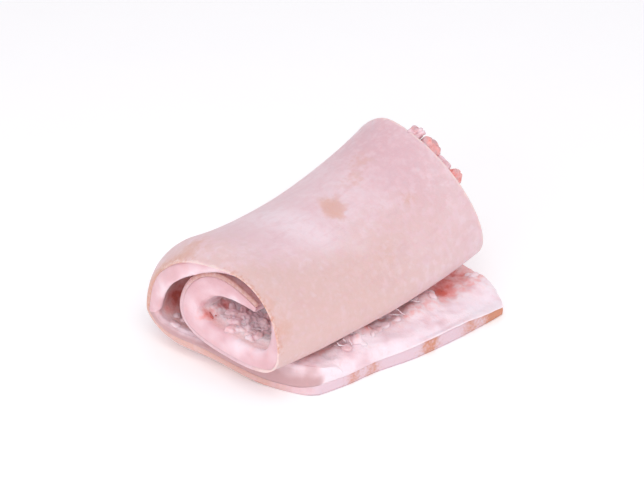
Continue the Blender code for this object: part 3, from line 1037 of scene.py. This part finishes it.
lobuleSizes = {
    # where the fat breaks up into small lobules: x, y, z, radius, strength
    "crowd": (
        (-7.0, 24.0, 13.0, 4.0, 1.0), (-5.0, 33.0, 16.0, 5.0, 0.8),
        (-6.0, 44.0, 14.0, 5.0, 1.0), (-8.5, 54.0, 11.5, 4.0, 1.0),
        (-7.5, 64.0, 11.5, 4.5, 1.0), (-8.0, 76.0, 12.0, 3.5, 0.8),
        (-6.0, 90.0, 10.5, 4.5, 0.8), (-4.0, 120.0, 8.5, 6.0, 0.6),
        (-78.0, -16.0, 15.0, 5.0, 0.8),
    ),
    "values": {
        "Spacing": 2.6 * mm,
        "Density": 220000.0,
        "Smallest": 1.6 * mm,
        "Largest": 3.4 * mm,
        "Stretch": (1.2, 1.0, 0.6),
        "Unevenness": 2.2 * mm,
        "Uneven Size": 2.0 * mm,
        "Detail": 0.35 * mm,
        "Softening": 3,
        "Blush": 0.6,
        "Wetness": 0.35,
        "Seed": 3,
    },
}


scatter = scatterTree()


def strewn(name, sizes, material):
    # a piece of lumps strewn over the part of the fat's surface where the crowd marks are; that part
    # is an open mesh which only the tree sees
    quads = quadsOf(np.arange(place.size).reshape(place.shape))
    near = spots(fatSide, sizes["crowd"])
    quads = quads[(near.ravel()[quads] > 0.15).all(axis=1)]
    used, faces = np.unique(quads, return_inverse=True)
    mesh = bpy.data.meshes.new(name)
    mesh.from_pydata(inFrame(fatSide.reshape(-1, 3)[used]).tolist(), [], faces.reshape(-1, 4).tolist())
    markMesh(mesh, {"crowd": np.clip(near.ravel()[used], 0, 1)})
    return madeByTree(name, mesh, scatter, dict(sizes["values"], Material=material))


lobules = strewn("fatLobules", lobuleSizes, fatMaterial)
print("stage 5: the fat lobules are made,", len(lobules.data.polygons), "faces")

clumpSizes = {
    # the crumpled fat that fills the mouth of the inner turn: x, y, z, radius, strength
    "crowd": (
        (-46.0, -10.0, 27.0, 5.0, 1.0), (-38.0, -7.0, 26.0, 7.0, 1.0),
        (-29.0, -9.0, 25.0, 6.0, 1.0), (-40.0, 4.0, 26.0, 8.0, 1.0),
        (-28.0, 2.0, 25.0, 7.0, 1.0), (-50.0, -3.0, 28.0, 4.0, 0.8),
    ),
    "values": {
        "Spacing": 2.8 * mm,
        "Density": 200000.0,
        "Smallest": 1.8 * mm,
        "Largest": 3.8 * mm,
        "Stretch": (1.3, 0.9, 0.8),
        "Unevenness": 4.0 * mm,
        "Uneven Size": 2.0 * mm,
        "Detail": 0.35 * mm,
        "Softening": 1,
        "Blush": 0.8,
        "Wetness": 0.7,
        "Seed": 5,
    },
}

clumps = strewn("channelClumps", clumpSizes, fatMaterial)
print("stage 6: the crumpled fat is made,", len(clumps.data.polygons), "faces")

shredSizes = {
    # where lean meat is left on the fat: x, y, z, radius, strength
    "crowd": (
        (-5.0, 97.0, 9.5, 3.2, 1.0), (-8.0, 104.0, 9.5, 3.0, 0.4),
        (-6.5, 42.0, 15.0, 2.0, 0.5), (-55.0, -14.0, 28.5, 2.5, 0.5),
    ),
    "values": {
        "Spacing": 1.4 * mm,
        "Density": 260000.0,
        "Smallest": 0.8 * mm,
        "Largest": 1.8 * mm,
        "Stretch": (2.2, 0.8, 0.5),
        "Unevenness": 1.6 * mm,
        "Uneven Size": 1.2 * mm,
        "Detail": 0.25 * mm,
        "Softening": 2,
        "Seed": 8,
    },
}

shreds = strewn("leanShreds", shredSizes, leanRemnant())
print("stage 7: the shreds of lean are made,", len(shreds.data.polygons), "faces")

stringSizes = {
    # strings of membrane between the roll and the slab: start, end and sag
    "strings": (
        ((-5.0, 18.5, 19.0), (-3.0, 24.5, 14.0), 1.0),
        ((-4.0, 22.0, 19.5), (-6.0, 26.5, 14.5), 0.6),
        ((-8.0, 20.5, 15.0), (-3.0, 29.0, 15.5), 1.2),
        ((-3.5, 26.0, 17.5), (-2.5, 27.5, 13.5), 0.3),
        ((-7.0, 30.0, 18.0), (-1.5, 36.0, 15.5), 0.8),
        ((-4.5, 61.0, 17.5), (-1.5, 66.0, 12.5), 0.8),
        ((-6.0, 58.0, 15.5), (-2.0, 66.5, 12.5), 1.0),
        ((-6.0, 74.0, 16.0), (-2.0, 77.0, 14.5), 0.5),
        ((-46.0, -14.0, 30.0), (-32.0, -10.0, 27.5), 1.5),
        ((-44.0, -6.0, 30.0), (-30.0, -14.0, 27.0), 1.0),
        ((-38.0, -12.0, 29.0), (-25.0, -3.0, 27.5), 1.2),
    ),
    "pointsEach": 12,
    "values": {"Thickness": 0.34 * mm, "Waviness": 2.2 * mm, "Wave Size": 4.0 * mm},
}


def stringHost():
    # one chain of edges for each string, hanging between its two ends
    share = np.linspace(0, 1, stringSizes["pointsEach"])[:, None]
    points, edges = [], []
    for start, end, sag in stringSizes["strings"]:
        first = len(points) * len(share)
        chain = np.array(start) * (1 - share) + np.array(end) * share
        chain[:, 2] -= sag * 4 * (share * (1 - share))[:, 0]
        points.append(chain)
        edges += [(first + k, first + k + 1) for k in range(len(share) - 1)]
    mesh = bpy.data.meshes.new("membraneStrings")
    mesh.from_pydata(inFrame(np.vstack(points)).tolist(), edges, [])
    return mesh


strings = madeByTree(
    "membraneStrings",
    stringHost(),
    stringTree(),
    dict(stringSizes["values"], Material=moistMembrane()),
)
print("stage 8: the membrane strings are made,", len(strings.data.polygons), "faces")

scrapSizes = {
    # ragged ends that hang out at the far end: x, y, z, half sizes, share of lean
    "scraps": (
        ("farScrapTop", -49.8, 126.5, 71.6, 4.8, 6.0, 3.8, 0.1),
        ("farScrapFlap", -41.5, 127.0, 65.5, 6.6, 7.0, 7.6, 0.42),
        ("farScrapRidge", -33.0, 126.0, 60.3, 6.6, 6.0, 5.0, 0.0),
        ("farScrapLean", -24.5, 127.0, 56.0, 4.2, 6.5, 5.2, 0.7),
    ),
    "subdivisions": 6,
    "roughness": 0.3,
    "foldShare": 0.22,
}


def buildScrap(number, name, x, y, z, halfX, halfY, halfZ, lean):
    shape = bmesh.new()
    bmesh.ops.create_icosphere(shape, subdivisions=scrapSizes["subdivisions"], radius=1.0)
    points = np.array([vertex.co for vertex in shape.verts])
    swell = 1 + scrapSizes["roughness"] * wave(points, 0.7, 20 + number)
    # folds that run out from the roll, as torn fibres do
    squeezed = points * (1.0, 0.35, 1.0)
    creases = np.abs(wave(squeezed, 0.8, 40 + number))
    swell -= scrapSizes["foldShare"] * np.clip(1 - 2.5 * creases, 0, 1)
    placed = points * swell[:, None] * (halfX, halfY, halfZ) + (x, y, z)
    for vertex, point in zip(shape.verts, inFrame(placed)):
        vertex.co = point
    mesh = bpy.data.meshes.new(name)
    shape.to_mesh(mesh)
    shape.free()
    mesh.shade_smooth()
    patches = 0.5 * wave(points, 0.5, 50 + number)
    # the scraps are darker where there is more lean: partly the lean's own colour, partly painted shade
    marks = {"blush": 0.9 + patches, "meat": lean + patches, "dry": 0.2 + 1.6 * lean + patches}
    markMesh(mesh, marks)
    mesh.materials.append(fatMaterial)
    return addObject(name, mesh)


scraps = [buildScrap(number, *row) for number, row in enumerate(scrapSizes["scraps"])]
print("stage 9: the far end's scraps are made")

studio = {
    "worldStrength": 0.75,
    "worldColour": "#fdfbff",
    "softbox": {"place": (0.45, -0.25, 0.85), "size": 0.7, "power": 3.05},
    "fill": {"place": (0.15, -0.95, 0.38), "size": 0.6, "power": 1.75},
}
floorFinish = {
    "half": 4.0,
    "glow": 0.09,
    "base": "#ffffff",
    "haze": "#fbf8fd",
    "rough": (0.6, 0.55),
    "depthsMm": (0.01,),
    "patterns": {"clouds": (40.0, 0.3, 0.7, 0.0, 2.0)},
}
view = {
    "azimuth": 43.0,
    "elevation": 33.0,
    "distance": 1.0,
    "lens": 111.8,
    "sensorWidth": 36.0,
    "aim": (-50.0, 50.0, 30.0),
    "shift": (0.0142, 0.0318),
}


def whiteFloor():
    # a white acrylic sweep, sanded matt: it gives back a soft pale light and no hard shadow
    glow = {"Emission Strength": floorFinish["glow"], "Emission Color": toLinear(floorFinish["base"])}
    material, add, shader = startMaterial("mattWhiteAcrylic", dict(glow, IOR=1.49))
    (clouds,) = patternsOf(add, floorFinish)
    colour = layColours(add, floorFinish, [(clouds, 0.08, "haze")])
    setSurface(add, shader, floorFinish, colour, clouds, (clouds,))
    mesh = bpy.data.meshes.new("studioFloor")
    half = floorFinish["half"]
    corners = [(-half, -half, 0), (half, -half, 0), (half, half, 0), (-half, half, 0)]
    mesh.from_pydata(corners, [], [(0, 1, 2, 3)])
    mesh.materials.append(material)
    return addObject("studioFloor", mesh)


def addTurned(name, data, where, back):
    # an object at that place with its back, +Z, turned that way
    piece = addObject(name, data)
    piece.location = where
    piece.rotation_mode = "QUATERNION"
    piece.rotation_quaternion = back.to_track_quat("Z", "Y")
    return piece


def addSoftbox(name, settings):
    # a square lamp that shines on the middle of the part
    light = bpy.data.lights.new(name, "AREA")
    light.shape = "SQUARE"
    light.size = settings["size"]
    light.energy = settings["power"]
    addTurned(name, light, settings["place"], Vector(settings["place"]))


def addCamera():
    azimuth, elevation = math.radians(view["azimuth"]), math.radians(view["elevation"])
    flat = math.cos(elevation)
    back = Vector((flat * math.sin(azimuth), -flat * math.cos(azimuth), math.sin(elevation)))
    data = bpy.data.cameras.new("camera")
    data.lens = view["lens"]
    data.sensor_width = view["sensorWidth"]
    data.shift_x, data.shift_y = view["shift"]
    where = Vector(inFrame(view["aim"])) + back * view["distance"]
    bpy.context.scene.camera = addTurned("camera", data, where, back)


floor = whiteFloor()
world = bpy.data.worlds.new("studioWorld")
world.use_nodes = True
background = world.node_tree.nodes["Background"].inputs
background["Color"].default_value = toLinear(studio["worldColour"])
background["Strength"].default_value = studio["worldStrength"]
bpy.context.scene.world = world
bpy.context.scene.view_settings.view_transform = "Standard"
addSoftbox("softbox", studio["softbox"])
addSoftbox("fill", studio["fill"])
addCamera()
print("stage 10: floor, lights and camera are set")

for piece in (rind, fat, lobules, clumps, shreds, strings, *scraps):
    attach(piece, "root")
    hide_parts("pork_skin_roll")
